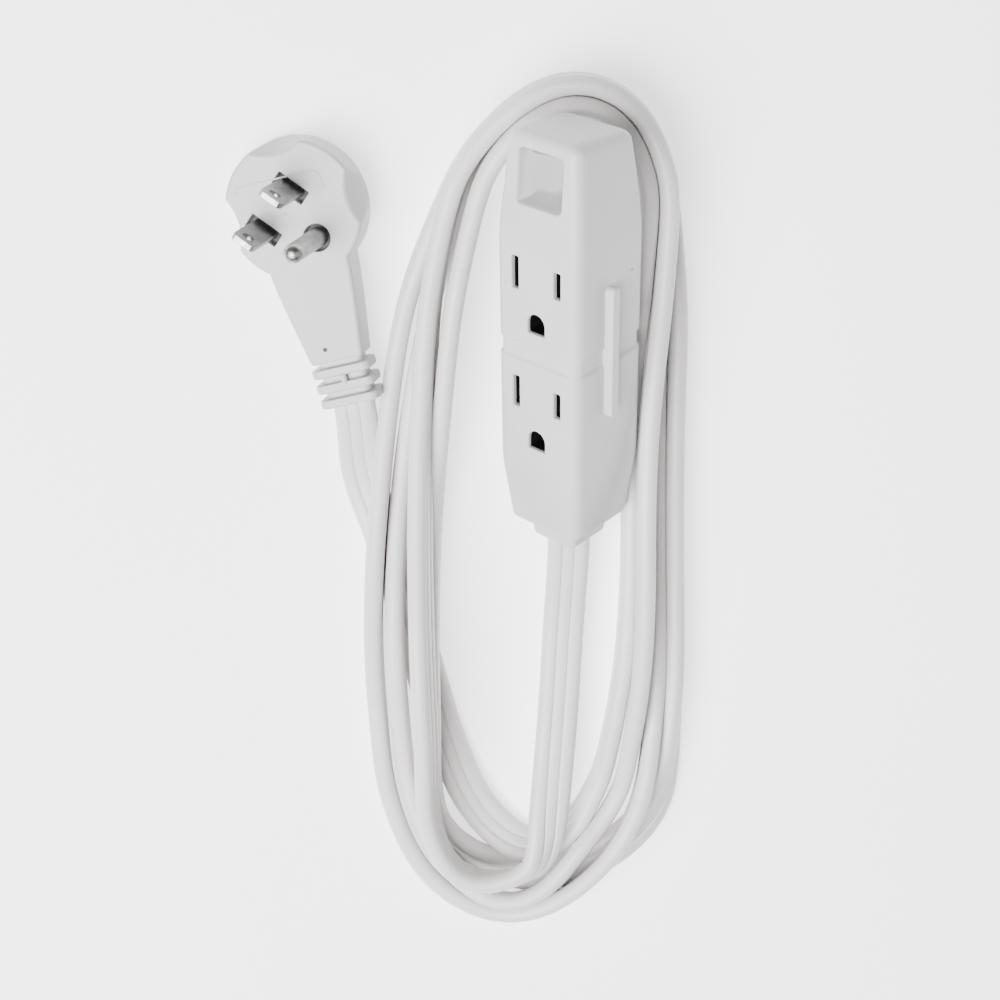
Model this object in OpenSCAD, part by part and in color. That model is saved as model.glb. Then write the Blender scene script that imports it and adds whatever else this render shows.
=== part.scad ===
// Three-outlet household extension cord: a square tap block, a flat three-wire cord wound in an oval
// coil, and a round flat plug. Millimetres, +Z up, the cord and the plug lie on the plane z = 0.

/* [Tap block] */
// Width of the block's square section
block_w = 25.4; // [24:0.1:28]
// From the block's middle to its far end
block_top = 54; // [50:0.5:60]
// From the block's middle to its cord end
block_bottom = 50.5; // [49:0.5:52]
// From the middle to where the far end starts to taper
shoulder_top = 30; // [28:0.5:34]
// From the middle to where the cord end starts to taper
shoulder_bottom = 33; // [30:0.5:36]
// Width of the section at the far end
end_w_top = 21; // [19:0.5:24]
// Width of the section at the cord end
end_w_bottom = 21.6; // [20:0.2:24]
// Radius of the block's long edges
edge_r = 3; // [2:0.1:4]
// Width of the recessed band round the middle
band_w = 4.4; // [3:0.1:6]
// Depth of the recessed band
band_depth = 0.8; // [0.4:0.1:1.2]
// Side of the square finger recess near the far end
recess_w = 13.4; // [10:0.1:14]
// Depth of the finger recess
recess_depth = 3.4; // [2:0.1:3.8]
// Length of the rib on the side face
rib_len = 34; // [20:1:40]
// Height of that rib above the side face
rib_h = 2.4; // [1.5:0.1:3]

/* [Outlets] */
// Distance from one front outlet to the next
outlet_pitch = 31.6; // [31:0.1:33]
// Height of the upper outlet's blade slots above the middle
upper_slot_y = 19.8; // [19:0.1:21]
// Distance between the two blade slots
slot_gap = 12.7; // [12.6:0.1:12.8]
// From the blade slots to the ground opening
ground_drop = 11.9; // [11.8:0.1:12]
// Length of the neutral slot
neutral_h = 8.3; // [8:0.1:8.6]
// Length of the line slot
line_h = 6.8; // [6.6:0.1:7.2]
// Width of a blade slot
slot_w = 2; // [1.8:0.1:2.2]
// Width of the ground opening
ground_w = 5.1; // [5:0.05:5.3]

/* [Cord] */
// Width of the flat cord
cord_w = 10.8; // [10:0.1:11]
// Thickness of the flat cord
cord_t = 4.8; // [4.4:0.1:5]

/* [Plug] */
// Radius of the plug's round head
head_r = 17.3; // [16:0.1:19]
// Thickness of the plug's head
head_t = 10; // [9:0.5:11]
// Free length of the flat blades
blade_len = 16.5; // [15.5:0.1:18]
// Width of a blade
blade_w = 6.35; // [6.2:0.05:6.5]
// Thickness of a blade
blade_t = 1.5; // [1.4:0.05:1.6]
// Free length of the ground pin
pin_len = 21.5; // [20.5:0.1:23]
// Radius of the ground pin
pin_r = 2.38; // [2.3:0.01:2.4]
// Turn of the blade pattern from the cord's line
pattern_turn = 41; // [35:1:45]

/* [Hidden] */

$fn = 48;
hull_fn = 32;
eps = 0.01;
gap = 0.05;

// How the block lies: its far end rests on the coil, and it is rolled part of a turn on its long axis.
block_tilt = 14;
block_roll = 41.4;
block_at = [0, 0.66, 25.17];

// Inside the block
cavity_w = 19.2;
cavity_top = 33;
cavity_bottom = -44;
carrier_bottom = -34;
carrier_wall = 1.5;
channel_top = 25;
blade_x = slot_gap / 2;
lower_slot_y = upper_slot_y - outlet_pitch;
back_slot_y = 4;
leaf_t = 0.5;
leaf_gap = 1.4;
leaf_reach = 6;
leaf_len = 6.8;
bus_h = 4;
bus_end = -36;
sleeve_r = 2.42;
sleeve_t = 0.53;
sleeve_reach = 7;
crimp_r = 1.6;
wire_r = 1;
crimp_len = 6;
ground_crimp_x = 1.5;
wire_pitch = 3.4;
cord_end_y = -45;

// Neck where the cord leaves the block
neck_w = 13;
neck_end = -56;
flange_w = 16;
flange_top = -44;
flange_t = 3.5;
cord_room = 0.2;

// Inside the plug
pattern_at = [-3.7, 1.3];
face_t = 2;
bridge_r = 13;
bridge_t = 6.4;
bridge_hollow = 3;
well_w = 3.6;
well_len = 8.8;
well_r = 3.4;
tail_len = 6.5;
pin_tail_r = 2;
blade_hole_r = 1.6;
blade_hole_from_tip = 4;
tip_chamfer = 1.6;
handle_top_w = 21;
handle_end_w = 13.6;
handle_end = -38.5;
relief_end = -49.6;
rib_pitch = 3.9;
rib_t = 2.3;
plug_cord_end = -41;
plug_channel_w = 9.4;
plug_channel_t = 3;

// How the plug lies: blades up, leaning a little away from the coil.
plug_at = [-66.8, 29.8, 13];
plug_lean = -11.3;
plug_turn = 14.2;

// Route of the cord from the block to the coil, then the turn of its flat side at each point.
tap_route = [[0, -43.4, 14.3], [0, -54, 11.6], [-0.2, -62, 9.6], [-0.8, -72, 7.6], [-1.6, -84, 6.6],
             [-2.4, -97, 6.8], [-3.4, -110, 8.4], [-4.6, -122, 11], [-5.8, -133, 14.2],
             [-7.2, -142, 15.8], [-10.2, -149.5, 16.4]];
tap_route_turn = [0, 0, 0, 0, 0, 0, 0, 4, 14, 34, 60];

// Route of the cord from the plug to the coil, lying flat.
plug_route = [[-56, -10, 10.1], [-53.9, -18.3, 10.4], [-53.3, -26, 8.8], [-53.4, -33, 5.6], [-53, -40, 3.2],
              [-51.2, -47, 2.6], [-48.8, -54, 2.5]];
plug_route_turn = [-11, -11, -8, -4, 0, 0, 0];

// Coil outlines: circles [x, y, radius] whose common outline is each oval.
coil_h = 10.8;
coil_outer = [[1.5, 35, 26], [-12.5, 15, 25.5], [5, 2, 25], [-26, -50, 25], [-29, -95, 25], [5.4, -105, 25],
              [-17, -134, 37.6]];
coil_inner = [[-0.5, 33, 16], [-5, 5, 20.5], [-9, -45, 22], [-10.5, -90, 22], [-10, -122, 20]];

// ---- Helpers ----

// Puts a shape drawn in the block's own frame (x across the front face, y along it, z out of it) in place.
module in_block() {
    translate(block_at) rotate([block_tilt, 0, 0]) rotate([0, -block_roll, 0]) children();
}

// Puts a shape drawn in the plug's own frame (z out of the face, y away from the cord) in place.
module in_plug() {
    translate(plug_at) rotate([0, plug_lean, 0]) rotate([0, 0, plug_turn]) children();
}

module centred_box(size, at = [0, 0, 0]) {
    translate(at) cube(size, center = true);
}

module box_between(low, high) {
    translate(low) cube(high - low);
}

// Rounded square plate, its own z through its thickness
module rounded_plate(w, h, r, t) {
    linear_extrude(t) hull() for (x = [-1, 1], y = [-1, 1])
        translate([x * (w / 2 - r), y * (h / 2 - r)]) circle(r = r, $fn = hull_fn);
}

// ---- Flat cord and round wires swept along a route ----

cord_sides = 12;
wire_sides = 8;
rings_per_leg = 2;
squareness = 0.6;

function catmull(a, b, c, d, t) =
    0.5 * (2 * b + (c - a) * t + (2 * a - 5 * b + 4 * c - d) * t * t + (3 * b - a - 3 * c + d) * t * t * t);

function at(list, i) = list[max(0, min(len(list) - 1, i))];

function smooth(list) = [for (i = [0 : len(list) - 2], k = [0 : rings_per_leg - 1])
    catmull(at(list, i - 1), at(list, i), at(list, i + 1), at(list, i + 2), k / rings_per_leg),
    list[len(list) - 1]];

function unit(v) = v / norm(v);

function heading(points, i) = unit(at(points, i + 1) - at(points, i - 1));

// One ring of the sweep: half sizes w and t, the wide way level where the turn is 0 and upright at 90
function ring(points, turns, i, w, t, sides, power) =
    let (along = heading(points, i),
         side = unit(cross(along, [0, 0, 1])),
         up = cross(side, along),
         wide = side * cos(turns[i]) + up * sin(turns[i]),
         thin = cross(wide, along))
    [for (k = [0 : sides - 1])
        let (a = 360 * (k + 0.5) / sides, c = cos(a), s = sin(a))
        points[i] + wide * w * sign(c) * pow(abs(c), power) + thin * t * sign(s) * pow(abs(s), power)];

module sweep(points, turns, w, t, sides, power) {
    count = len(points);
    corners = [for (i = [0 : count - 1]) each ring(points, turns, i, w, t, sides, power)];
    walls = [for (i = [0 : count - 2], k = [0 : sides - 1], half = [0, 1])
        let (a = i * sides + k, b = i * sides + (k + 1) % sides)
        half == 0 ? [a, b, b + sides] : [a, b + sides, a + sides]];
    start = [for (k = [sides - 1 : -1 : 0]) k];
    end = [for (k = [0 : sides - 1]) (count - 1) * sides + k];
    polyhedron(points = corners, faces = concat([start], walls, [end]), convexity = 6);
}

module flat_cord(route, route_turn) {
    sweep(smooth(route), smooth(route_turn), cord_w / 2, cord_t / 2, cord_sides, squareness);
}

module round_wire(route, r) {
    sweep(route, [for (p = route) 0], r, r, wire_sides, 1);
}

// ---- Tap block ----

// Outer skin: one hull over rounded corners at both shoulders and both ends
module block_skin() {
    stations = [[-block_bottom + edge_r, end_w_bottom], [-shoulder_bottom, block_w],
                [shoulder_top, block_w], [block_top - edge_r, end_w_top]];
    hull() for (s = stations, x = [-1, 1], z = [-1, 1])
        translate([x * (s[1] / 2 - edge_r), s[0], z * (s[1] / 2 - edge_r)]) sphere(r = edge_r, $fn = hull_fn);
}

// Slots and ground opening of one outlet, cut from z = low to z = high, ground towards -y
module outlet_cut(y, low, high) {
    for (s = [[-blade_x, neutral_h], [blade_x, line_h]])
        box_between([s[0] - slot_w / 2, y - s[1] / 2, low], [s[0] + slot_w / 2, y + s[1] / 2, high]);
    translate([0, y - ground_drop, low]) cylinder(h = high - low, r = ground_w / 2);
    box_between([-ground_w / 2, y - ground_drop - ground_w / 2, low], [ground_w / 2, y - ground_drop, high]);
}

// All outlet openings through the front wall and, turned end for end, through the back wall
module all_outlet_cuts(inner) {
    for (y = [upper_slot_y, lower_slot_y]) outlet_cut(y, inner, block_w);
    mirror([0, 0, 1]) translate([0, 2 * back_slot_y, 0]) mirror([0, 1, 0])
        outlet_cut(back_slot_y, inner, block_w);
}

module tap_body() {
    slope = atan((block_w - end_w_top) / 2 / (block_top - shoulder_top));
    recess_y = 43.8;
    face_at_recess = block_w / 2 - (recess_y - shoulder_top) * tan(slope);
    rib_t = 2.3;
    rib_y = 0.6;
    rib_z = 1.2;
    band_y = -0.5;
    color("gainsboro") in_block() difference() {
        union() {
            block_skin();
            for (y = [-1, 1]) translate([block_w / 2 - 1, rib_y + y * (rib_len - rib_t) / 2, rib_z])
                rotate([0, 90, 0]) cylinder(h = rib_h + 1, r = rib_t / 2);
            centred_box([rib_h + 1, rib_len - rib_t, rib_t], [block_w / 2 + rib_h / 2 - 0.5, rib_y, rib_z]);
        }
        difference() {
            centred_box([2 * block_w, band_w, 2 * block_w], [0, band_y, 0]);
            centred_box([block_w - 2 * band_depth, 2 * band_w, block_w - 2 * band_depth], [0, band_y, 0]);
            centred_box([block_w, 2 * band_w, rib_t], [block_w / 2 + 1, band_y, rib_z]);
        }
        box_between([-cavity_w / 2, cavity_bottom, -cavity_w / 2], [cavity_w / 2, cavity_top, cavity_w / 2]);
        translate([0, recess_y, face_at_recess]) rotate([-slope, 0, 0]) translate([0, 0, -recess_depth])
            rounded_plate(recess_w, recess_w, 2.2, block_w);
        all_outlet_cuts(0);
        centred_box([flange_w, flange_t + gap, flange_w], [0, flange_top - flange_t / 2, 0]);
        centred_box([neck_w, 20, neck_w], [0, flange_top - 10, 0]);
    }
}

// Stepped neck with an inner flange, which the flat cord passes through
module tap_strain_relief() {
    color("gainsboro") in_block() difference() {
        union() {
            rotate([90, 0, 0]) translate([0, 0, -flange_top])
                rounded_plate(flange_w - gap, flange_w - gap, 1, flange_t);
            rotate([90, 0, 0]) translate([0, 0, -flange_top])
                rounded_plate(neck_w - gap, neck_w - gap, 2, flange_top - neck_end);
        }
        rotate([0, block_roll, 0])
            centred_box([cord_w + cord_room, 40, cord_t + cord_room], [0, flange_top - 10, 0]);
    }
}

// Moulded carrier with a channel for each bus, open at the back
module contact_carrier() {
    w = cavity_w / 2 - gap;
    floor_z = -w + carrier_wall;
    color("ivory") in_block() difference() {
        box_between([-w, carrier_bottom, floor_z], [w, cavity_top - gap, w]);
        for (side = [-1, 1]) box_between([side * 6.4 - 2.3, carrier_bottom - eps, floor_z - eps],
                                         [side * 6.4 + 2.3, channel_top, w - carrier_wall]);
        box_between([-3.3, carrier_bottom - eps, floor_z - eps], [3.3, channel_top, w - carrier_wall]);
        for (y = [upper_slot_y, lower_slot_y]) outlet_cut(y, 0, block_w);
    }
}

module carrier_lid() {
    w = cavity_w / 2 - gap;
    color("ivory") in_block() difference() {
        box_between([-w, carrier_bottom, -w], [w, cavity_top - gap, -w + carrier_wall]);
        all_outlet_cuts(0);
    }
}

// One pair of contact leaves beside a blade's plane at x = 0, open towards +z
module blade_clip() {
    for (side = [-1, 1])
        centred_box([leaf_t, leaf_len, 2 * leaf_reach], [side * (leaf_gap + leaf_t) / 2, 0, 0]);
    centred_box([leaf_gap + 2 * leaf_t, leaf_len, leaf_t], [0, 0, -leaf_reach + leaf_t / 2]);
}

// Crimp barrel round a wire end, along y
module crimp(x) {
    translate([x, bus_end, 0]) rotate([90, 0, 0]) difference() {
        cylinder(h = crimp_len, r = crimp_r);
        translate([0, 0, -eps]) cylinder(h = crimp_len + 2 * eps, r = wire_r + gap);
    }
}

// Flat bus bar with a clip for each outlet; side is 1 for line and -1 for neutral
module blade_bus(side) {
    outer_leaf = side * (blade_x + (leaf_gap + leaf_t) / 2);
    for (y = [upper_slot_y, lower_slot_y]) translate([side * blade_x, y, 0]) blade_clip();
    translate([side * blade_x, back_slot_y, 0]) mirror([0, 0, 1]) blade_clip();
    box_between([outer_leaf - leaf_t / 2, bus_end - 2, -bus_h / 2 + 1],
                [outer_leaf + leaf_t / 2, upper_slot_y + leaf_len / 2, bus_h / 2 - 1]);
    crimp(side * (blade_x - 0.2));
}

module line_bus() {
    color("goldenrod") in_block() blade_bus(1);
}

module neutral_bus() {
    color("goldenrod") in_block() blade_bus(-1);
}

// Round sleeves for the ground pins, joined by a strip at their side
module ground_bus() {
    outer = sleeve_r + sleeve_t;
    sleeve_y = [upper_slot_y - ground_drop, lower_slot_y - ground_drop, back_slot_y + ground_drop];
    color("goldenrod") in_block() {
        difference() {
            union() {
                for (y = sleeve_y) translate([0, y, -sleeve_reach]) cylinder(h = 2 * sleeve_reach, r = outer);
                box_between([outer - leaf_t, bus_end - 2, -1], [outer, back_slot_y + ground_drop, 1]);
            }
            for (y = sleeve_y) translate([0, y, -block_w]) cylinder(h = 2 * block_w, r = sleeve_r);
        }
        crimp(ground_crimp_x);
    }
}

// Bare copper end of one conductor, from the cord's cut end into its crimp
module tap_wire(x, place) {
    start = [place * cos(block_roll), cord_end_y, -place * sin(block_roll)];
    in_crimp = [x, bus_end - crimp_len + 0.3, 0];
    color("peru") in_block() round_wire([start, start + [0, 1.2, 0], in_crimp, [x, bus_end - 1, 0]], wire_r);
}

module tap_line_wire() { tap_wire(blade_x - 0.2, wire_pitch); }

module tap_neutral_wire() { tap_wire(0.2 - blade_x, -wire_pitch); }

module tap_ground_wire() { tap_wire(ground_crimp_x, 0); }

// ---- Cord ----

module tap_lead() {
    color("whitesmoke") flat_cord(tap_route, tap_route_turn);
}

module plug_lead() {
    color("whitesmoke") flat_cord(plug_route, plug_route_turn);
}

module outline(circles) {
    hull() for (c = circles) translate([c.x, c.y]) circle(r = c.z, $fn = hull_fn);
}

// The wound cord as one plain oval ring, two layers high everywhere but at the near right
module cord_coil() {
    open_corner = [-8, -190];
    upper_inner_shift = 3.5;
    color("whitesmoke") {
        difference() {
            linear_extrude(2 * coil_h) outline(coil_outer);
            translate([0, 0, -1]) linear_extrude(2 * coil_h + 2) outline(coil_inner);
            translate([upper_inner_shift, 0, coil_h]) linear_extrude(coil_h + 1) outline(coil_inner);
            translate([open_corner.x, open_corner.y, coil_h]) cube([60, 100, coil_h + 1]);
        }
    }
}

// ---- Plug ----

// The blades' and pin's places in the plug's frame, the pin towards -y before the turn
module at_pattern() {
    translate([pattern_at.x, pattern_at.y, 0]) rotate([0, 0, pattern_turn]) children();
}

module well_cuts(low) {
    at_pattern() {
        for (side = [-1, 1])
            centred_box([well_w, well_len, 2 * head_t], [side * slot_gap / 2, 0, low + head_t]);
        translate([0, -ground_drop, low]) cylinder(h = 2 * head_t, r = well_r);
    }
}

// Round head with three finger scallops, running into the tapering handle
module plug_body() {
    round_r = 1.5;
    scallop_r = 14;
    color("gainsboro") in_plug() difference() {
        union() {
            rotate_extrude() union() {
                polygon([[0, -head_t], [head_r - round_r, -head_t], [head_r, -head_t + round_r],
                         [head_r, -round_r], [head_r - round_r, 0], [0, 0]]);
            }
            translate([0, 0, -head_t + 0.5]) linear_extrude(head_t - 1)
                polygon([[-handle_top_w / 2, -10], [handle_top_w / 2, -10], [handle_end_w / 2, handle_end],
                         [-handle_end_w / 2, handle_end]]);
        }
        for (a = [0, 90, 180]) rotate([0, 0, a]) translate([head_r + scallop_r - 3, 0, -head_t - 1])
            cylinder(h = head_t + 2, r = scallop_r);
        translate([0, 0, -face_t - bridge_t]) cylinder(h = bridge_t, r = bridge_r);
        well_cuts(-face_t - eps);
        box_between([-plug_channel_w / 2, handle_end - 1, -head_t / 2 - plug_channel_t / 2],
                    [plug_channel_w / 2, -bridge_r + 2, -head_t / 2 + plug_channel_t / 2]);
        box_between([-plug_channel_w / 2, -19, -face_t - bridge_t],
                    [plug_channel_w / 2, -bridge_r + 2, -head_t / 2 + plug_channel_t / 2]);
    }
}

// Three flexible ribs round the cord behind the handle
module plug_strain_relief() {
    rib_w = 15.4;
    rib_h = 9;
    core_w = 12.4;
    core_t = 6.6;
    color("gainsboro") in_plug() translate([0, 0, -head_t / 2]) difference() {
        union() {
            box_between([-core_w / 2, relief_end, -core_t / 2], [core_w / 2, handle_end, core_t / 2]);
            for (k = [0 : 2]) translate([0, handle_end - 1.4 - k * rib_pitch, 0]) rotate([90, 0, 0])
                rounded_plate(rib_w, rib_h, 2.4, rib_t);
        }
        box_between([-cord_w / 2 - cord_room, relief_end - 1, -cord_t / 2 - cord_room],
                    [cord_w / 2 + cord_room, plug_cord_end, cord_t / 2 + cord_room]);
        box_between([-plug_channel_w / 2, plug_cord_end - 1, -plug_channel_t / 2],
                    [plug_channel_w / 2, handle_end + 1, plug_channel_t / 2]);
    }
}

// Dark inner disc that holds the blades and the pin, hollow at the back for the wires
module pin_bridge() {
    hold = 0.05;
    back = -face_t - bridge_t;
    color("#26262a") in_plug() difference() {
        translate([0, 0, back + gap]) cylinder(h = bridge_t - 2 * gap, r = bridge_r - gap);
        at_pattern() {
            for (side = [-1, 1])
                centred_box([blade_t + hold, blade_w + hold, 2 * head_t], [side * slot_gap / 2, 0, 0]);
            translate([0, -ground_drop, -head_t]) cylinder(h = 2 * head_t, r = pin_tail_r + hold / 2);
        }
        translate([0, 0, back - 1]) cylinder(h = bridge_hollow + 1, r = bridge_r - 1.6);
        box_between([-plug_channel_w / 2, -bridge_r - 1, back - 1],
                    [plug_channel_w / 2, 0, back + bridge_hollow]);
    }
}

// Flat blade with a hole and a chamfered tip, its width along the pattern's y
module blade(side) {
    at_pattern() translate([side * slot_gap / 2, 0, 0]) rotate([90, 0, 90]) translate([0, 0, -blade_t / 2])
        difference() {
            linear_extrude(blade_t) polygon([[-blade_w / 2, -tail_len], [blade_w / 2, -tail_len],
                [blade_w / 2, blade_len - tip_chamfer], [blade_w / 2 - tip_chamfer / 2, blade_len],
                [-blade_w / 2 + tip_chamfer / 2, blade_len], [-blade_w / 2, blade_len - tip_chamfer]]);
            translate([0, blade_len - blade_hole_from_tip, -1]) cylinder(h = blade_t + 2, r = blade_hole_r);
        }
}

module neutral_blade() {
    color("silver") in_plug() blade(1);
}

module line_blade() {
    color("silver") in_plug() blade(-1);
}

module ground_pin() {
    nose_r = 1.7;
    shoulder = -face_t + 0.1;
    straight_top = pin_len - nose_r;
    color("silver") in_plug() at_pattern() translate([0, -ground_drop, 0]) rotate_extrude() union() {
        polygon([[0, -tail_len], [pin_tail_r, -tail_len], [pin_tail_r, shoulder], [pin_r, shoulder],
                 [pin_r, straight_top], [pin_r - nose_r, pin_len], [0, pin_len]]);
        translate([pin_r - nose_r, straight_top]) intersection() {
            circle(r = nose_r);
            square(nose_r);
        }
    }
}

// Conductor from a blade or pin tail, down into the handle and on to the cord's cut end
module plug_wire(route, place) {
    r = 0.9;
    low = -tail_len - r;
    color("peru") in_plug() round_wire(concat([for (p = route) [p.x, p.y, low]],
        [[place, -12.5, low], [place, -17.5, -head_t / 2], [place, plug_cord_end, -head_t / 2]]), r);
}

module plug_line_wire() { plug_wire([[-8, -3.4], [-5.6, -7.6]], -wire_pitch); }

module plug_neutral_wire() { plug_wire([[0.6, 4.6], [0, -2], [0, -8]], 0); }

module plug_ground_wire() { plug_wire([[4.3, -7.2]], wire_pitch); }

tap_body();
tap_strain_relief();
contact_carrier();
carrier_lid();
line_bus();
neutral_bus();
ground_bus();
tap_line_wire();
tap_neutral_wire();
tap_ground_wire();
tap_lead();
cord_coil();
plug_lead();
plug_body();
plug_strain_relief();
pin_bridge();
line_blade();
neutral_blade();
ground_pin();
plug_line_wire();
plug_neutral_wire();
plug_ground_wire();
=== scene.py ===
import bpy
import bmesh
from math import cos, exp, log, pi, radians, sin, sqrt
from mathutils import Matrix, Vector


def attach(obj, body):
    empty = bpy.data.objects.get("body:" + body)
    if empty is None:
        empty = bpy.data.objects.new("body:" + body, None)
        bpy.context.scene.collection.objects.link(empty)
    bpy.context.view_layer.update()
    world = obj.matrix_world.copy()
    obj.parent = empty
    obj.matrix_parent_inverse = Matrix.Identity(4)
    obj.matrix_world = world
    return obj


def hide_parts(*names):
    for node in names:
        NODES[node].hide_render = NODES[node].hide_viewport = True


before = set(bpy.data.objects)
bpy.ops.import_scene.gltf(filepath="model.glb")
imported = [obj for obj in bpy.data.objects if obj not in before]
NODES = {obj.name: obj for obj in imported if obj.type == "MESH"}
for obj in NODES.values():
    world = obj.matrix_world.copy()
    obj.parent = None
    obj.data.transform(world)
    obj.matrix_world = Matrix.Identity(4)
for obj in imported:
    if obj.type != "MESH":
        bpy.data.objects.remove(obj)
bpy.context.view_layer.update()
MM = 0.001


# ---------- camera ----------

CAMERA_AT = (-0.0152, 0.1125, 0.48973)
CAMERA_TURN = (radians(-18.25), 0, radians(-0.857))
CAMERA_LENS = 71.14


def set_camera():
    """Looks down on the coil from over its far end."""
    data = bpy.data.cameras.new("view")
    data.lens = CAMERA_LENS
    data.sensor_width = 36
    data.clip_start = 0.01
    camera = bpy.data.objects.new("view", data)
    camera.location = CAMERA_AT
    camera.rotation_euler = CAMERA_TURN
    bpy.context.scene.collection.objects.link(camera)
    bpy.context.scene.camera = camera


set_camera()


# ---------- helpers ----------

def shift(x=0, y=0, z=0):
    """A move by that many mm."""
    return Matrix.Translation(Vector((x, y, z)) * MM)


def turned(angle, axis):
    """A turn by that many degrees."""
    return Matrix.Rotation(radians(angle), 4, axis)


def link(name, mesh, smooth_below=35):
    """New object from a mesh, smooth shaded up to that edge angle."""
    for face in mesh.polygons:
        face.use_smooth = True
    mesh.set_sharp_from_angle(angle=radians(smooth_below))
    obj = bpy.data.objects.new(name, mesh)
    bpy.context.scene.collection.objects.link(obj)
    return obj


def mesh_of(name, points, faces):
    mesh = bpy.data.meshes.new(name)
    mesh.from_pydata([tuple(p) for p in points], [], faces)
    outside = bmesh.new()
    outside.from_mesh(mesh)
    bmesh.ops.recalc_face_normals(outside, faces=outside.faces)
    outside.to_mesh(mesh)
    outside.free()
    mesh.update()
    return mesh


def loft(name, rings, loop=False):
    """A skin over rings of equal length; the first and last ring are filled unless the rings form a loop."""
    n = len(rings[0])
    points = [p for ring in rings for p in ring]
    legs = len(rings) if loop else len(rings) - 1
    faces = []
    for i in range(legs):
        a, b = i * n, (i + 1) % len(rings) * n
        for k in range(n):
            j = (k + 1) % n
            faces.append((a + k, a + j, b + j, b + k))
    if not loop:
        faces.append(tuple(range(n - 1, -1, -1)))
        faces.append(tuple(range(len(points) - n, len(points))))
    return mesh_of(name, points, faces)


def rounded_rect(w, h, r, steps=6):
    """Outline of half sizes w and h with corner radius r, anticlockwise."""
    outline = []
    for x, y, start in ((w - r, h - r, 0), (r - w, h - r, 90), (r - w, r - h, 180), (w - r, r - h, 270)):
        for k in range(steps + 1):
            a = radians(start + 90 * k / steps)
            outline.append((x + r * cos(a), y + r * sin(a)))
    return outline


def circle(r, steps=48, x=0, y=0):
    return [(x + r * cos(2 * pi * k / steps), y + r * sin(2 * pi * k / steps)) for k in range(steps)]


def moved(outline, x, y):
    return [(a + x, b + y) for a, b in outline]


def stack(name, place, levels, loop=False):
    """A skin over outlines stacked along z: levels holds (outline, z) in mm, place sets them in the frame."""
    rings = [[place @ (Vector((x, y, z)) * MM) for x, y in outline] for outline, z in levels]
    return loft(name, rings, loop)


def flared(name, place, outline, flare, x=0, y=0, face=0):
    """A cutter that widens towards its mouth: flare holds (growth of the outline, height over the face)."""
    return stack(name, place, [(moved(outline(grow), x, y), face + z) for grow, z in flare])


def bake_modifiers(obj):
    """Gives the object the mesh that its modifiers make."""
    made = bpy.data.meshes.new_from_object(obj.evaluated_get(bpy.context.evaluated_depsgraph_get()))
    obj.modifiers.clear()
    obj.data = made


def carve(obj, tools, mode="DIFFERENCE"):
    """Cuts the tools' meshes out of obj, or joins them to it."""
    for mesh in tools:
        tool = bpy.data.objects.new("tool", mesh)
        bpy.context.scene.collection.objects.link(tool)
        step = obj.modifiers.new("carve", "BOOLEAN")
        step.operation = mode
        step.solver = "EXACT"
        step.object = tool
        bake_modifiers(obj)
        bpy.data.objects.remove(tool)
    obj.data.name = obj.name


def soften(obj, bevel=0.0, smooth_below=38):
    """Smooth shading that keeps flat faces flat, with an optional small bevel in mm on the sharp edges."""
    if bevel:
        edge = obj.modifiers.new("edges", "BEVEL")
        edge.width = bevel * MM
        edge.segments = 2
        edge.limit_method = "ANGLE"
        edge.angle_limit = radians(40)
        bake_modifiers(obj)
    for face in obj.data.polygons:
        face.use_smooth = True
    obj.data.set_sharp_from_angle(angle=radians(smooth_below))
    flat = obj.modifiers.new("flat_faces", "WEIGHTED_NORMAL")
    flat.keep_sharp = True
    flat.weight = 100
    return obj


# ---------- cord ----------

HALF_THICK = 2.42      # half the cord's thickness in mm, with a hair of room
EDGE_REACH = 3.1       # how much further its edge reaches when the cord stands on it
ROW_STEP = 2.3
SMOOTHING_PASSES = 3

# Half width and half thickness of the flat cord in mm, from its middle to its edge
HALF_PROFILE = [(0.0, 2.32), (1.15, 2.3), (1.38, 2.16), (1.5, 1.96), (1.64, 2.16), (1.9, 2.34), (2.4, 2.4),
                (3.0, 2.4), (3.6, 2.33), (4.2, 2.08), (4.7, 1.7), (5.08, 1.2), (5.32, 0.62), (5.4, 0.0)]

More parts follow.
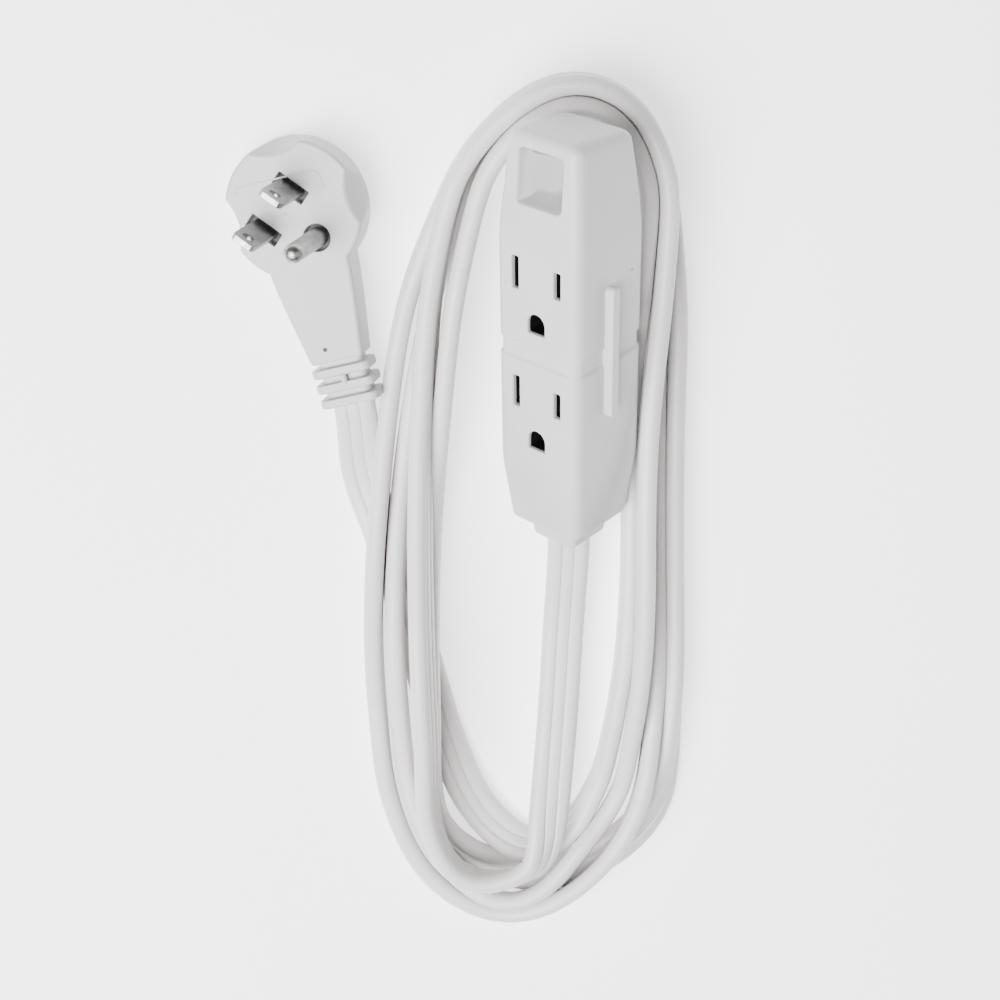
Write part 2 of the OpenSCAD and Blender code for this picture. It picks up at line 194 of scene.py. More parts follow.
# The coil is wound round a straight spine: out is the distance from it, height the cord's centre above the
# floor, turn how far the flat cord is stood up from lying flat. 24 stations a turn, from the near right:
# 0-6 round the near end, 6-12 up the left, 12-18 round the far end, 18-24 down the right.
SPINE_NEAR = Vector((-12, -121.34))
SPINE_FAR = Vector((0, 32.66))
TURNS = [
    [(3, 36.5, 16.2, 74), (4, 34.2, 16.2, 86), (5, 28.2, 17, 98), (6, 25.9, 20.5, 104), (7, 28.1, 21, 106),
     (8, 30.3, 17.5, 106), (9, 31.7, 16.2, 105), (10, 32.1, 16.2, 103), (11, 31.8, 16.2, 99),
     (12, 28.2, 16.2, 94), (13, 24.9, 16.2, 90), (14, 25.5, 16.2, 88), (15, 27.7, 16.2, 90),
     (16, 26.9, 16.2, 90), (17, 24.4, 16.2, 90), (18, 24.6, 16.2, 90), (19, 24.8, 16.2, 90),
     (20, 24.2, 16.2, 90), (21, 25.3, 16, 90), (22, 27.6, 15.2, 90), (23, 28.6, 12.5, 86),
     (24, 27.4, 8.5, 80), (25, 27, 7, 76), (26, 30, 10.2, 68)],
    [(3, 43.6, 7.8, 64), (4, 38.6, 5.7, 74), (5, 32.6, 5.5, 86), (6, 32.8, 6, 90), (7, 35.8, 10.2, 90),
     (8, 37.2, 10.2, 90), (9, 37, 6.5, 90), (10, 34.8, 5.4, 90), (11, 31, 5.4, 90), (12, 23.8, 5.4, 90),
     (13, 19.5, 5.4, 90), (14, 18.8, 5.4, 90), (15, 19.9, 5.4, 90), (16, 20.1, 5.4, 90),
     (17, 19, 5.4, 90), (18, 20.2, 5.4, 90), (19, 24.3, 5.4, 90), (20, 26.4, 5.4, 90),
     (21, 28.6, 5.4, 90), (22, 31, 5.4, 90), (23, 33.4, 5.4, 90), (24, 32.8, 10.2, 86),
     (25, 32.5, 12.9, 80), (26, 38, 10.2, 68)],
    [(3, 48, 5.6, 62), (4, 45, 5.4, 66), (5, 39, 5.4, 80), (6, 38.8, 5.4, 88), (7, 41.8, 6, 90),
     (8, 42.6, 10.2, 90), (9, 42, 10.6, 90), (10, 40.6, 5.8, 90), (11, 37.2, 5.4, 90),
     (12, 28.4, 5.4, 90), (13, 24.3, 5.4, 90), (14, 23.7, 5.4, 90), (15, 24.8, 5.4, 90),
     (16, 25.1, 5.4, 90), (17, 23.9, 5.4, 90), (18, 25.3, 5.4, 90), (19, 29.8, 5.4, 90),
     (20, 31.4, 5.4, 90), (21, 33.4, 5.4, 90), (22, 35.8, 5.4, 90), (23, 38.2, 5.4, 88),
     (24, 38.4, 4.8, 66), (25, 37.6, 2.6, 12), (26, 36.3, 2.4, 0)],
    [(3, 35.5, 2.4, 0), (4, 31.3, 4.6, 45), (5, 26.9, 7.5, 88), (6, 24.9, 10.2, 90), (7, 26.7, 10.2, 90),
     (8, 28, 6, 90), (9, 28, 8, 90), (10, 27.2, 14, 90), (11, 25.9, 16.2, 90), (12, 21.8, 16.2, 90),
     (13, 19.8, 16.2, 90), (14, 20.4, 16.2, 90), (15, 22.6, 16.2, 90), (16, 21.8, 16.2, 90),
     (17, 19.4, 16.2, 90), (18, 19.6, 16.2, 90), (19, 19.8, 12.5, 90), (20, 19.8, 6.2, 90),
     (21, 22.1, 5.4, 90), (22, 23.9, 5.4, 90), (23, 24.2, 5.4, 90), (24, 21.7, 5.4, 90),
     (25, 20.8, 5.4, 90), (26, 25.7, 5.4, 110)],
]

# Free stretches, (x, y, z, turn) in mm: from the block to the coil, then under the coil and out to the plug
TAP_STRETCH = [(0, -43.4, 14.3, 0), (0, -54, 11.6, 0), (-0.2, -62, 9.6, 0), (-0.8, -72, 7.6, 0),
               (-1.6, -84, 6.6, 0), (-2.4, -97, 6.8, 0), (-3.4, -110, 8.4, 0), (-4.6, -122, 11, 4),
               (-5.8, -133, 14.2, 14), (-7.2, -142, 15.8, 34), (-10.2, -149.5, 16.4, 60)]
PLUG_STRETCH = [(-9.8, -148.6, 4.5, 135), (-16.5, -145.4, 2.8, 165), (-22.6, -139.4, 2.4, 180),
                (-27.6, -131.3, 2.4, 180), (-31.4, -121.3, 2.4, 180), (-35, -109.3, 2.4, 180),
                (-38.4, -95.3, 2.4, 180), (-42, -81, 2.4, 180), (-44.5, -70, 2.4, 180),
                (-46.8, -61, 2.4, 180), (-48.8, -54, 2.5, 180), (-51.2, -47, 2.6, 180),
                (-53, -40, 3.2, 180), (-53.4, -33, 5.6, 184), (-53.3, -26, 8.8, 188),
                (-53.9, -18.3, 10.4, 191), (-56, -10, 10.1, 191)]


def coil_point(station, out):
    """Place of a station at that distance from the spine, seen from above."""
    along = SPINE_FAR - SPINE_NEAR
    length = along.length
    along = along.normalized()
    right = Vector((along.y, -along.x))
    s = station % 24
    if s < 6:
        a = radians(30 * s)
        return SPINE_NEAR + out * (cos(a) * right - sin(a) * along)
    if s < 12:
        return SPINE_NEAR + along * length * (s - 6) / 6 - out * right
    if s < 18:
        a = radians(180 - 30 * (s - 12))
        return SPINE_FAR + out * (cos(a) * right + sin(a) * along)
    return SPINE_FAR - along * length * (s - 18) / 6 + out * right


def between(a, b, c, d, t):
    """The smooth line through a, b, c and d, at t of the way from b to c."""
    return 0.5 * (2 * b + (c - a) * t + (2 * a - 5 * b + 4 * c - d) * t * t
                  + (3 * b - a - 3 * c + d) * t ** 3)


def smooth_rows(rows, steps=4):
    """Rows of numbers joined by one smooth line through all of them."""
    made = []
    for i in range(len(rows) - 1):
        four = [rows[max(0, min(len(rows) - 1, i + k))] for k in (-1, 0, 1, 2)]
        for k in range(steps):
            made.append(tuple(between(*column, k / steps) for column in zip(*four)))
    made.append(tuple(rows[-1]))
    return made


def off_the_floor(x, y, z, turn):
    """Lifts a row whose cord would sink into the floor at that turn."""
    return x, y, max(z, HALF_THICK + EDGE_REACH * abs(sin(radians(turn)))), turn


def cord_rows():
    """(x, y, z, turn) in mm along the whole cord, from inside the block to inside the plug."""
    stations = [(24 * i + s, out, height, turn)
                for i, rows in enumerate(TURNS) for s, out, height, turn in rows]
    coil = []
    for s, out, height, turn in smooth_rows(stations):
        p = coil_point(s, out)
        coil.append((p.x, p.y, height, turn))
    joined = smooth_rows(TAP_STRETCH) + coil[2:-1] + smooth_rows(PLUG_STRETCH)
    rows = [off_the_floor(*row) for row in joined]
    for _ in range(SMOOTHING_PASSES):
        inner = [tuple((a + 2 * b + c) / 4 for a, b, c in zip(rows[i - 1], rows[i], rows[i + 1]))
                 for i in range(1, len(rows) - 1)]
        rows = [rows[0]] + inner + [rows[-1]]
    return rows


def even_rows(rows, step):
    """The same line with its points that far apart, and its length."""
    at = [0.0]
    for a, b in zip(rows, rows[1:]):
        at.append(at[-1] + (Vector(b[:3]) - Vector(a[:3])).length)
    count = round(at[-1] / step)
    made, i = [], 0
    for k in range(count + 1):
        d = at[-1] * k / count
        while i < len(at) - 2 and at[i + 1] < d:
            i += 1
        t = (d - at[i]) / max(1e-9, at[i + 1] - at[i])
        made.append(tuple(a + (b - a) * t for a, b in zip(rows[i], rows[i + 1])))
    return made, at[-1]


def cord_profile():
    """The whole outline (wide, thin) of the flat cord in mm, once round."""
    top = [(-w, t) for w, t in HALF_PROFILE[:0:-1]] + HALF_PROFILE
    return top + [(w, -t) for w, t in top[-2:0:-1]]


def cord_rings(rows, outline):
    """The outline set across the cord at each row, turned as the row says."""
    points = [Vector(row[:3]) for row in rows]
    rings = []
    for i, p in enumerate(points):
        along = (points[min(i + 1, len(points) - 1)] - points[max(i - 1, 0)]).normalized()
        side = along.cross(Vector((0, 0, 1))).normalized()
        up = side.cross(along)
        turn = radians(rows[i][3])
        wide = side * cos(turn) + up * sin(turn)
        thin = wide.cross(along)
        rings.append([(p + wide * w + thin * t) * MM for w, t in outline])
    return rings


def flat_cord(rows, run):
    """The cord as one sweep, with each point's place along and across it kept for the jacket's material."""
    profile = cord_profile()
    obj = link("flat_cord", loft("flat_cord", cord_rings(rows, profile)))
    local = obj.data.attributes.new("local", "FLOAT_VECTOR", "POINT")
    local.data.foreach_set("vector", [c * MM for i in range(len(rows)) for w, t in profile
                                      for c in (run * i / (len(rows) - 1), w, t)])
    return obj


CORD_ROWS, CORD_RUN = even_rows(cord_rows(), ROW_STEP)
cord = flat_cord(CORD_ROWS, CORD_RUN)


# ---------- tap block ----------

BLOCK_ROLL = -41.4
BLOCK = shift(0, 0.66, 25.17) @ turned(14, "X") @ turned(BLOCK_ROLL, "Y")
ALONG_BLOCK = BLOCK @ turned(-90, "X")      # its z runs along the block, from the cord end
BLOCK_W = 25.4
FACE = BLOCK_W / 2
CORNER_R = 3
FAR_END, NEAR_END = 54, -50.5
FAR_END_R, NEAR_END_R = 2.6, 1.7
FAR_KNEE, NEAR_KNEE = 30, -33
FAR_TAPER, NEAR_TAPER = 0.092, 0.109
UPPER_SLOTS, LOWER_SLOTS, BACK_SLOTS = 19.8, -11.8, 4
SLOT_X = 6.35
SLOT_W = 2
GROUND_DROP = 11.9
GROUND_R = 2.55
NECK_HALF = 6.9
LINER_T = 0.09
RECESS_X, RECESS_Y, RECESS_HALF = 0.2, 43.8, 6.7

# Depth of the recessed band round the block's waist, as (y, depth)
BAND = ((-3.3, 0), (-3.0, 0.07), (-2.55, 0.47), (-2.25, 0.55),
        (1.3, 0.55), (1.5, 0.48), (1.8, 0.08), (2.0, 0))

# Growth of an opening towards its mouth, as (growth, height over the face)
OUTLET_FLARE = ((0, -7.7), (0, -0.4), (0.06, -0.18), (0.22, 0), (0.3, 0.08), (0.3, 2))


def block_half(y):
    """Half width of the block at y, with soft knees where both ends start to taper."""
    def past(d):
        return (d + sqrt(d * d + 5)) / 2
    return FACE - FAR_TAPER * past(y - FAR_KNEE) - NEAR_TAPER * past(NEAR_KNEE - y)


def block_levels():
    """Cross sections of the block as (outline, y), from its near end to its far end."""
    levels = []

    def add(y, inset=0.0, r=CORNER_R):
        half = block_half(y) - inset
        levels.append((rounded_rect(half, half, r, 8), y))

    def add_end(end, r, angles):
        for a in angles:
            back = r * (1 - sin(radians(a)))
            add(end - back if end > 0 else end + back, r * (1 - cos(radians(a))), CORNER_R - 0.018 * a)

    add_end(NEAR_END, NEAR_END_R, range(90, -1, -18))
    for y in (-46, -42, -38, -36, -34.5, -33, -31.5, -30, -27, -16):
        add(y)
    for y, depth in BAND:
        add(y, depth, CORNER_R - depth)
    for y in (16, 24, 27, 28.5, 30, 31.5, 33, 35, 38, 42, 46, 49.5):
        add(y)
    add_end(FAR_END, FAR_END_R, range(0, 91, 15))
    return levels


def ground_outline(grow=0.0, steps=20):
    """Ground opening: an arch towards +y over a flat end."""
    r = GROUND_R + grow
    arch = [(r * cos(radians(180 * k / steps)), r * sin(radians(180 * k / steps))) for k in range(steps + 1)]
    return arch + [(-r, -r), (r, -r)]


def slot_outline(w, h, grow=0.0):
    return rounded_rect(w / 2 + grow, h / 2 + grow, 0.25 + grow, 3)


def outlet_shapes(slots_y):
    """(outline maker, x, y) of the two slots and the ground opening of one outlet, ground towards -y."""
    return [(lambda grow: slot_outline(SLOT_W, 8.3, grow), -SLOT_X, slots_y),
            (lambda grow: slot_outline(SLOT_W, 6.7, grow), SLOT_X, slots_y),
            (ground_outline, 0, slots_y - GROUND_DROP)]


def hole_cutters():
    """One flared cutter for each opening in the front and in the back face."""
    back = BLOCK @ shift(0, 2 * BACK_SLOTS) @ turned(180, "X")
    return [flared("hole", place, outline, OUTLET_FLARE, x, y, FACE)
            for place, rows in ((BLOCK, (UPPER_SLOTS, LOWER_SLOTS)), (back, (BACK_SLOTS,)))
            for slots_y in rows for outline, x, y in outlet_shapes(slots_y)]


def recess_depth(x, y):
    """Depth of the finger recess: its floor falls away to the right, over a slanting near wall."""
    side = RECESS_HALF
    walls = (0.7 + 0.36 * (x + side) + 0.05 * (y + side), 0.3 + 1.05 * (y + side), 0.3 + 3.5 * (side - y),
             0.25 + 1.0 * (x + side), 0.3 + 5 * (side - x))
    softness = 3.5
    return -log(sum(exp(-softness * wall) for wall in walls)) / softness


def recess_cutter():
    """The finger recess near the far end, its rim softly rounded."""
    place = BLOCK @ shift(RECESS_X, RECESS_Y, block_half(RECESS_Y)) @ turned(-5.26, "X")
    outline = rounded_rect(RECESS_HALF, RECESS_HALF, 1.7, 8)
    rim = ((1.1, 2), (1.06, 0.12), (1.03, -0.04), (1.01, -0.16))
    rings = [[(x * s, y * s, z) for x, y in outline] for s, z in rim]
    for s in (1, 0.985, 0.97, 0.95, 0.925, 0.9, 0.86, 0.82, 0.77, 0.71, 0.64, 0.56, 0.47, 0.37, 0.26, 0.14):
        rings.append([(x * s, y * s, -recess_depth(x * s, y * s)) for x, y in outline])
    return loft("recess", [[place @ (Vector(p) * MM) for p in ring] for ring in rings])


def box_cutter(half, near, far):
    """A square hole along the block."""
    square = ((-half, near), (half, near), (half, far), (-half, far))
    return stack("box", BLOCK, [(square, z) for z in (-half, half)])


def dot_cutter():
    """The small vent in the block's side."""
    place = BLOCK @ shift(FACE, 18.9, -7.5) @ turned(90, "Y")
    return stack("dot", place, [(circle(0.3, 16), -1.4), (circle(0.34, 16), -0.3), (circle(0.46, 16), 0.1)])


def block_point(x, y, z):
    """A point of the shell: the far end leans back a little, and the edge it lies on is flat on the floor."""
    lean = 0.09 * (10.5 - z) * max(0.0, min(1.0, (y - 44) / 8))
    p = BLOCK @ (Vector((x, y - lean, z)) * MM)
    return Vector((p.x, p.y, max(p.z, 0.03 * MM)))


def paint_recess_shade(obj):
    """Keeps how deep in the finger recess each point lies, for the painted shade that darkens the recess in
    the material.
    """
    back = BLOCK.inverted()
    edge = RECESS_HALF + 0.02
    sunk = []
    for v in obj.data.vertices:
        at = back @ v.co / MM
        inside = abs(at.x - RECESS_X) < edge and abs(at.y - RECESS_Y) < edge and at.z > 2
        depth = block_half(at.y) - 0.12 - at.z
        sunk.append(min(1.0, max(0.0, depth) / 0.5) if inside else 0.0)
    # The recess attribute carries painted shade: the shell's material darkens its tone by it.
    obj.data.attributes.new("recess", "FLOAT", "POINT").data.foreach_set("value", sunk)


def block_shell():
    rings = [[block_point(x, y, z) for x, z in outline] for outline, y in block_levels()]
    obj = link("block_shell", loft("block_shell", rings))
    inside = [box_cutter(9.6, -44, 33), box_cutter(NECK_HALF + 0.05, -60, -43)]
    carve(obj, inside + [recess_cutter(), dot_cutter()] + hole_cutters())
    soften(obj)
    # Painted shade: marks the finger recess so that its material darkens it.
    paint_recess_shade(obj)
    return obj


def block_rib():
    """The upright rib on the block's side, its top edge rounded."""
    place = BLOCK @ shift(0, 0.65, 1.2) @ turned(90, "Y")
    levels = [(rounded_rect(1.4 - d, 17.15 - d, 1.3 - d, 6), x)
              for d, x in ((0, 11.6), (0, 14.55), (0.06, 14.8), (0.2, 14.98), (0.45, 15.08))]
    return soften(link("block_rib", stack("block_rib", place, levels)))


def outlet_shade_liners():
    """Painted shade: near-black sleeves inside the front openings, under the white skin, that stand in for
    the shade deep in the openings, joined as one piece.
    """
    merged = bmesh.new()
    for slots_y in (UPPER_SLOTS, LOWER_SLOTS):
        for outline, x, y in outlet_shapes(slots_y):
            top = 11.55 if x else 11.8
            outer, inner = moved(outline(-0.03), x, y), moved(outline(-0.03 - LINER_T), x, y)
            levels = [(outer, 8.1), (outer, top), (inner, top - 0.02), (inner, 8.1)]
            merged.from_mesh(stack("liner", BLOCK, levels, loop=True))
    mesh = bpy.data.meshes.new("outlet_shade_liners")
    merged.to_mesh(mesh)
    merged.free()
    return link("outlet_shade_liners", mesh)


def cord_way(place, near, far):
    """The flat way of the cord through a piece."""
    return stack("way", place, [(rounded_rect(5.45, 2.45, 1.6, 5), z) for z in (near, far)])


def block_neck():
    """The stepped neck that the cord leaves the block by."""
    levels = []
    for d, y in ((0, -44), (0, -50.4), (0, -54.6), (0.18, -55.3), (0.6, -55.8), (1.3, -56)):
        outline = rounded_rect(NECK_HALF - d, NECK_HALF - d, 1.8 - 0.5 * d, 6)
        levels.append(([(x, -z) for x, z in outline], y))
    obj = link("block_neck", stack("block_neck", ALONG_BLOCK, levels))
    carve(obj, [cord_way(ALONG_BLOCK @ turned(BLOCK_ROLL, "Z"), -60, -40)])
    return soften(obj)


block = block_shell()
rib = block_rib()
shade_liners = outlet_shade_liners()
neck = block_neck()


# ---------- plug ----------

PLUG = shift(-66.8, 29.8, 13) @ turned(-11.3, "Y") @ turned(14.2, "Z")
PATTERN = PLUG @ shift(-3.7, 1.3) @ turned(41, "Z")      # the blades' own axes, ground pin towards -y
ALONG_PLUG = PLUG @ shift(0, 0, -5) @ turned(90, "X")     # its z runs from the head to the cord
HEAD_R = 17.3
SCALLOPS = (0, 90, 180)
SCALLOP_R = 14
HANDLE_END = 38.5
RIB_PITCH = 3.9
BLADE_T, BLADE_W, BLADE_LEN, TAIL = 1.5, 6.35, 16.5, 6.5
PIN_R, PIN_STRAIGHT = 2.38, 19.3

# (inset, z) of the head's rim, from its back edge to its face
HEAD_RIM = ((1.5, -10), (0.7, -9.8), (0.2, -9.3), (0, -8.6), (0, -7.6), (0, -6.6), (0, -5.6), (0, -4.6),
            (0, -3.6), (0, -2.6), (0, -1.6), (0, -0.9), (0.12, -0.45), (0.4, -0.12), (0.85, 0))

# (distance from the head's middle, half width) of the handle
HANDLE = ((6, 10.5), (10, 10.5), (14, 10.45), (18, 10.05), (22, 9.5), (26, 8.9), (30, 8.25), (34, 7.55),
          (37.6, 6.95), (38.3, 6.75), (HANDLE_END, 6.4))
WELL_FLARE = ((0, -3), (0, -0.35), (0.06, -0.12), (0.2, 0.02), (0.2, 1))

# The faint raised outline on the plug's face, and the section of its ridge as (across, height)
OUTLINE = [(-12.7, 6.6), (-12.6, 7.9), (-12, 8.5), (-6, 8.45), (0, 8.4), (7.6, 8.3), (8.7, 7.9), (9.1, 6.8),
           (9.5, 3.6)]
RIDGE = ((-0.24, -0.1), (-0.2, 0.05), (-0.08, 0.13), (0.08, 0.13), (0.2, 0.05), (0.24, -0.1))


def head_radius(angle, z):
    """Radius of the head's rim there: each finger scallop bites the front and fades to the back."""
    bite = 3.1 * max(0.0, 1 + z / 8.2)
    centre = HEAD_R + SCALLOP_R - bite
    r = HEAD_R
    for middle in SCALLOPS:
        away = radians((angle - middle + 180) % 360 - 180)
        inside = SCALLOP_R ** 2 - (centre * sin(away)) ** 2
        if abs(away) < radians(40) and inside > 0:
            r = min(r, centre * cos(away) - sqrt(inside))
    return r


def head_outline(inset, z):
    """Outline of the round head at that height."""
    outline = []
    for k in range(240):
        a = 1.5 * k
        r = head_radius(a, z) - inset
        outline.append((r * cos(radians(a)), r * sin(radians(a))))
    return outline


def handle_levels():
    """Cross sections of the handle, the last two drawn in a little where it meets the ribs."""
    levels = []
    for y, w in HANDLE:
        inset = 0.3 if y > 38.2 else 0
        t = 4.98 - 0.012 * max(0, y - 14) - inset
        levels.append((rounded_rect(w, t, 1.0, 5), y))
    return levels


def plug_cutters():
    """The wells round the blades and the pin, the bridge's seat, the wires' way and the small vent."""
    wells = [flared("well", PATTERN, lambda grow: slot_outline(3.6, 8.8, grow), WELL_FLARE, side * SLOT_X)
             for side in (-1, 1)]
    wells.append(flared("well", PATTERN, lambda grow: circle(3.4 + grow), WELL_FLARE, 0, -GROUND_DROP))
    seat = stack("seat", PLUG, [(circle(13, 64), -8.4), (circle(13, 64), -2)])
    way = stack("way", ALONG_PLUG, [(rounded_rect(4.7, 1.5, 0.5, 3), z) for z in (10, 40)])
    dot = stack("dot", PLUG @ shift(-2, -35),
                [(circle(0.5, 24), -2.6), (circle(0.55, 24), -0.3), (circle(0.7, 24), 0.1)])
    return wells + [seat, way, dot]


def plug_shell():
    head = [(head_outline(inset, z), z) for inset, z in HEAD_RIM]
    obj = link("plug_shell", stack("plug_shell", PLUG, head))
    carve(obj, [stack("handle", ALONG_PLUG, handle_levels())], "UNION")
    carve(obj, plug_cutters())
    return soften(obj)


def plug_outline():
    """The faint raised outline moulded on the plug's face."""
    rings = []
    for i, (x, y) in enumerate(OUTLINE):
        (x0, y0), (x1, y1) = OUTLINE[max(0, i - 1)], OUTLINE[min(len(OUTLINE) - 1, i + 1)]
        across = Vector((y1 - y0, x0 - x1, 0)).normalized()
        rings.append([PLUG @ ((Vector((x, y, z)) + across * w) * MM) for w, z in RIDGE])
    return link("plug_outline", loft("plug_outline", rings))


def relief_rib(y):
    """One rib of the relief, its edges rounded."""
    levels = [(rounded_rect(7.7 - d, 4.5 - d, 2.0 - 0.6 * d, 6), y + e)
              for d, e in ((0.5, 0), (0.14, 0.16), (0, 0.5), (0, 1.8), (0.14, 2.14), (0.5, 2.3))]
    return stack("rib", ALONG_PLUG, levels)


def plug_relief():
    """The ribbed relief behind the handle: a core, three ribs and the small post between the first two."""
    core = [(rounded_rect(5.9, 2.85, 1.6, 5), y) for y in (38.2, 44, 49.2)]
    core.append((rounded_rect(5.7, 2.65, 1.5, 5), 49.6))
    obj = link("plug_ribs", stack("plug_ribs", ALONG_PLUG, core))
    ribs = [relief_rib(HANDLE_END + 1.4 + RIB_PITCH * k) for k in range(3)]
    post = stack("post", ALONG_PLUG, [(circle(0.85, 16, 0.4, 4.0), z) for z in (41.9, 44.4)])
    carve(obj, ribs + [post], "UNION")
    carve(obj, [cord_way(ALONG_PLUG, 41, 52)])
    return soften(obj)


def blade(name, side):
    """A flat blade with chamfered tip corners and a hole near its tip."""
    place = PATTERN @ shift(side * SLOT_X) @ turned(90, "Z") @ turned(90, "X")
    w = BLADE_W / 2
    right = [(w, -TAIL), (w, BLADE_LEN - 1.6), (w - 0.25, BLADE_LEN - 0.7), (w - 0.8, BLADE_LEN)]
    left = [(-x, y) for x, y in right]
    shape = left[:1] + right + left[:0:-1]
    obj = link(name, stack(name, place, [(shape, z) for z in (-BLADE_T / 2, BLADE_T / 2)]))
    hole = circle(1.6, 32, 0, BLADE_LEN - 4)
    carve(obj, [stack("hole", place, [(hole, z) for z in (-2, 2)])])
    return soften(obj, bevel=0.16)


def ground_pin():
    """The round pin with its narrower tail inside the plug and its domed tip."""
    levels = [(2.0, -TAIL), (2.0, -1.9), (PIN_R, -1.9), (PIN_R, PIN_STRAIGHT)]
    levels += [(PIN_R * cos(radians(a)), PIN_STRAIGHT + 2.2 * sin(radians(a)))
               for a in (15, 30, 45, 58, 70, 80, 87)]
    place = PATTERN @ shift(0, -GROUND_DROP)
    mesh = stack("ground_pin_round", place, [(circle(r), z) for r, z in levels])
    return soften(link("ground_pin_round", mesh))


plug = plug_shell()
outline_ridge = plug_outline()
relief = plug_relief()
neutral = blade("blade_neutral", 1)
line = blade("blade_line", -1)
pin = ground_pin()


# ---------- materials ----------

def new_material(name):
    material = bpy.data.materials.new(name)
    material.use_nodes = True
    tree = material.node_tree
    return material, tree, tree.nodes["Principled BSDF"]


def attribute(tree, name):
    node = tree.nodes.new("ShaderNodeAttribute")
    node.attribute_name = name
    return node.outputs


def noise(tree, scale, detail=2.0, stretch=(1, 1, 1), along=None):
    """Noise over the object's place, or over the piece's own coordinates kept in the attribute along."""
    if along:
        place = attribute(tree, along)["Vector"]
    else:
        place = tree.nodes.new("ShaderNodeTexCoord").outputs["Object"]
    mapping = tree.nodes.new("ShaderNodeMapping")
    mapping.inputs["Scale"].default_value = stretch
    tree.links.new(place, mapping.inputs["Vector"])
    made = tree.nodes.new("ShaderNodeTexNoise")
    made.inputs["Scale"].default_value = scale
    made.inputs["Detail"].default_value = detail
    tree.links.new(mapping.outputs["Vector"], made.inputs["Vector"])
    return made.outputs["Fac"]


def spread(tree, value, low, high):
    """The middle of a noise value stretched to run from low to high."""
    made = tree.nodes.new("ShaderNodeMapRange")
    made.inputs["From Min"].default_value = 0.3
    made.inputs["From Max"].default_value = 0.7
    made.inputs["To Min"].default_value = low
    made.inputs["To Max"].default_value = high
    tree.links.new(value, made.inputs["Value"])
    return made.outputs["Result"]


def two_tone(tree, value, dark, light):
    ramp = tree.nodes.new("ShaderNodeValToRGB")
    ramp.color_ramp.elements[0].position = 0.32
    ramp.color_ramp.elements[0].color = (*dark, 1)
    ramp.color_ramp.elements[1].position = 0.68
    ramp.color_ramp.elements[1].color = (*light, 1)
    tree.links.new(value, ramp.inputs["Fac"])
    return ramp.outputs["Color"]


def painted_recess_shade(tree, tone):
    """The tone with painted shade: darker where the piece's recess attribute rises, standing in for the shade
    in the finger recess; pieces without it keep their tone.
    """
    shade_amount = tree.nodes.new("ShaderNodeMapRange")
    shade_amount.inputs["To Min"].default_value = 0
    shade_amount.inputs["To Max"].default_value = -0.24
    tree.links.new(attribute(tree, "recess")["Fac"], shade_amount.inputs["Value"])
    toned = tree.nodes.new("ShaderNodeBrightContrast")
    tree.links.new(tone, toned.inputs["Color"])
    tree.links.new(shade_amount.outputs["Result"], toned.inputs["Bright"])
    return toned.outputs["Color"]


def bumps(tree, shader, heights):
    """Bump nodes in a chain, each a (height, strength, depth in metres)."""
    last = None
    for height, strength, depth in heights:
        bump = tree.nodes.new("ShaderNodeBump")
        bump.inputs["Strength"].default_value = strength
        bump.inputs["Distance"].default_value = depth
        tree.links.new(height, bump.inputs["Height"])
        if last:
            tree.links.new(last, bump.inputs["Normal"])
        last = bump.outputs["Normal"]
    tree.links.new(last, shader.inputs["Normal"])


def moulded(name, dark, light, rough, sheen=0.4):
    """Moulded thermoplastic: faint tone drift, fine spark-eroded grain and slow sink waves, with painted
    shade darkening the tone in the finger recess.
    """
    material, tree, shader = new_material(name)
    tone = two_tone(tree, noise(tree, 55, 4), dark, light)
    # Painted shade: the tone darkens in a marked finger recess.
    tree.links.new(painted_recess_shade(tree, tone), shader.inputs["Base Color"])
    tree.links.new(spread(tree, noise(tree, 900, 3), rough - 0.05, rough + 0.06), shader.inputs["Roughness"])
    shader.inputs["Specular IOR Level"].default_value = sheen
    bumps(tree, shader, [(noise(tree, 45, 2), 0.25, 0.0006), (noise(tree, 3200, 3), 0.25, 0.00005)])
    return material


def drawn_vinyl():
    """Extruded cord jacket: lines along its length, faint scuffs and a soft vinyl shine."""
    material, tree, shader = new_material("cord_jacket")
    tone = two_tone(tree, noise(tree, 18, 5, along="local"), (0.615, 0.594, 0.588), (0.69, 0.674, 0.668))
    tree.links.new(tone, shader.inputs["Base Color"])
    scuffs = noise(tree, 260, 4, (0.15, 1, 1), "local")
    tree.links.new(spread(tree, scuffs, 0.34, 0.5), shader.inputs["Roughness"])
    shader.inputs["Specular IOR Level"].default_value = 0.5
    shader.inputs["Subsurface Weight"].default_value = 0.08
    shader.inputs["Subsurface Scale"].default_value = 0.0015
    bumps(tree, shader, [(noise(tree, 900, 2, (0.02, 1, 1), "local"), 0.3, 0.00012),
                         (noise(tree, 2600, 3, (0.5, 1, 1), "local"), 0.2, 0.00004)])
    return material


def brushed(name, dark, light, rough, stretch=(1, 1, 0.05), along="local"):
    """Rolled or turned metal: fine lines along the piece and blotches of duller tone."""
    material, tree, shader = new_material(name)
    shader.inputs["Metallic"].default_value = 1.0
    tone = two_tone(tree, noise(tree, 220, 5, along=along), dark, light)
    tree.links.new(tone, shader.inputs["Base Color"])
    lines = noise(tree, 700, 4, stretch, along)
    tree.links.new(spread(tree, lines, rough - 0.08, rough + 0.12), shader.inputs["Roughness"])
    bumps(tree, shader, [(noise(tree, 1500, 3, stretch, along), 0.35, 0.00004)])
    return material


